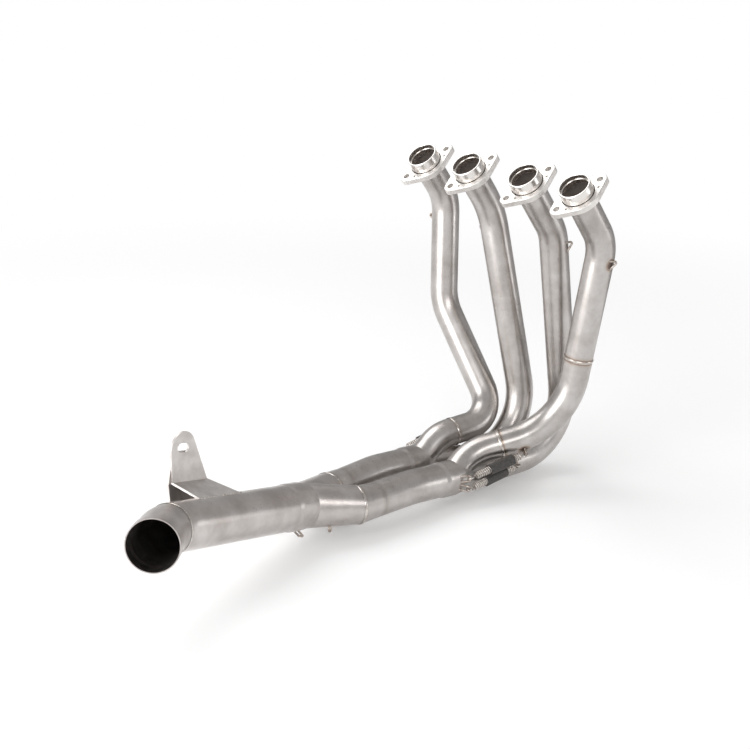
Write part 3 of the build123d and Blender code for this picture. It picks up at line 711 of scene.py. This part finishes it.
paper = new_material("white_paper")
tree = paper.node_tree
rays = add_node(tree, "ShaderNodeLightPath").outputs
seen_or_mirrored = add_node(tree, "ShaderNodeMath", {0: rays["Is Camera Ray"], 1: rays["Is Glossy Ray"]},
                            operation="ADD")
seen = add_node(tree, "ShaderNodeMath", {0: seen_or_mirrored, 1: rays["Is Transmission Ray"]},
                operation="ADD", use_clamp=True)
where = add_node(tree, "ShaderNodeTexCoord").outputs["Object"]
offset = add_node(tree, "ShaderNodeVectorMath", {0: where, 1: tuple(middle)}, operation="SUBTRACT")
distance = add_node(tree, "ShaderNodeVectorMath", {0: offset}, operation="LENGTH").outputs["Value"]
far = add_node(tree, "ShaderNodeMapRange", {"Value": distance, "From Min": FADE_FROM, "From Max": FADE_TO},
               interpolation_type="SMOOTHSTEP")
matt = add_node(tree, "ShaderNodeBsdfDiffuse", {"Color": "#F2F2F2"})
fill = add_node(tree, "ShaderNodeEmission", {"Color": WHITE, "Strength": PAPER_FILL})
white = add_node(tree, "ShaderNodeEmission", {"Color": WHITE, "Strength": 1.0})
near_paper = add_node(tree, "ShaderNodeAddShader", {0: matt, 1: fill})
seen_paper = add_node(tree, "ShaderNodeMixShader", {"Fac": far, 1: near_paper, 2: white})
all_paper = add_node(tree, "ShaderNodeMixShader", {"Fac": seen, 1: matt, 2: seen_paper})
add_node(tree, "ShaderNodeOutputMaterial", {"Surface": all_paper})
floor.data.materials.append(paper)
print("paper fades from", FADE_FROM, "to", FADE_TO, "m")

# %% [markdown]
# Light
#
# Bare metal shows its surroundings more than its own colour, so the lamps are placed for
# their reflections. A picture of a studio could be wrapped round the scene, but lamps can
# be moved one by one. A large soft box on the camera's left gives the long white bands, a
# second one on the right above the camera gives the next band, a low wide strip on the
# right draws the line along the tail, and a fourth box hangs behind over the object. The
# first two are brighter in their middle, as soft boxes are, so that the bands fade at
# their sides. The rest of the room is a plain grey that the camera itself sees as white.

# %% The room
ROOM_GREY = 0.5
world = bpy.data.worlds.new("studio")
bpy.context.scene.world = world
world.use_nodes = True
tree = world.node_tree
tree.nodes.clear()
camera_ray = add_node(tree, "ShaderNodeLightPath").outputs["Is Camera Ray"]
room = add_node(tree, "ShaderNodeBackground", {"Color": WHITE, "Strength": ROOM_GREY})
backdrop = add_node(tree, "ShaderNodeBackground", {"Color": WHITE, "Strength": 1.0})
choice = add_node(tree, "ShaderNodeMixShader", {"Fac": camera_ray, 1: room, 2: backdrop})
add_node(tree, "ShaderNodeOutputWorld", {"Surface": choice})
print("room grey:", ROOM_GREY)

# %% Lamps
TO_CAMERA = math.atan2(CAMERA_BACK.y, CAMERA_BACK.x)


def facing_middle(turn, rise, distance):
    """Place and turn of a thing that faces the object.

    Turn and rise are degrees, turn from the camera to its right; distance is in metres."""
    angle = TO_CAMERA + math.radians(turn)
    lift = math.radians(rise)
    away = Vector((math.cos(angle) * math.cos(lift), math.sin(angle) * math.cos(lift), math.sin(lift)))
    return Matrix.Translation(middle + away * distance) @ away.to_track_quat("Z", "Y").to_matrix().to_4x4()


def soft_box(name, turn, rise, distance, size, brightness):
    """A rectangular lamp that faces the object; its power is brightness * pi * area."""
    data = bpy.data.lights.new(name, "AREA")
    data.shape = "RECTANGLE"
    data.size, data.size_y = size
    data.energy = brightness * math.pi * size[0] * size[1]
    lamp = bpy.data.objects.new(name, data)
    lamp.matrix_world = facing_middle(turn, rise, distance)
    lamp.visible_camera = False
    bpy.context.collection.objects.link(lamp)
    return lamp


lamps = [
    soft_box("left_box", turn=-52, rise=10, distance=1.75, size=(2.1, 1.6), brightness=1.2),
    soft_box("left_core", turn=-50, rise=8, distance=1.7, size=(0.9, 1.2), brightness=3.8),
    soft_box("right_box", turn=22, rise=25, distance=2.35, size=(3.0, 0.9), brightness=0.8),
    soft_box("right_core", turn=20, rise=24, distance=2.3, size=(1.6, 0.4), brightness=4.0),
    soft_box("side_strip", turn=106, rise=1, distance=1.5, size=(1.5, 0.34), brightness=1.9),
    soft_box("top_box", turn=-140, rise=58, distance=1.9, size=(1.5, 1.5), brightness=2.4),
]
print("lamps:", len(lamps))

# %% [markdown]
# A card beside the metal
#
# Photographers stand a grey card beside bright metal, out of the picture, so that it ends
# in a dark edge against white paper. Here the card stands behind on the right. It is seen
# in reflections only: the camera, the shadows and the soft light pass through it.

# %% Grey card
CARD_SIZE = (1.6, 1.0)
card = flat_sheet("grey_card", CARD_SIZE, facing_middle(turn=140, rise=-4, distance=0.9))
card_paint = new_material("matt_grey_card")
matt_grey = add_node(card_paint.node_tree, "ShaderNodeBsdfDiffuse", {"Color": "#9A9A9A"})
add_node(card_paint.node_tree, "ShaderNodeOutputMaterial", {"Surface": matt_grey})
card.data.materials.append(card_paint)
card.visible_camera = False
card.visible_shadow = False
card.visible_diffuse = False
print("card:", CARD_SIZE)

# %% [markdown]
# Colours
#
# The Standard view shows each colour as it was written, where a filmic view would grey the
# white paper.

# %% View
bpy.context.scene.view_settings.view_transform = "Standard"
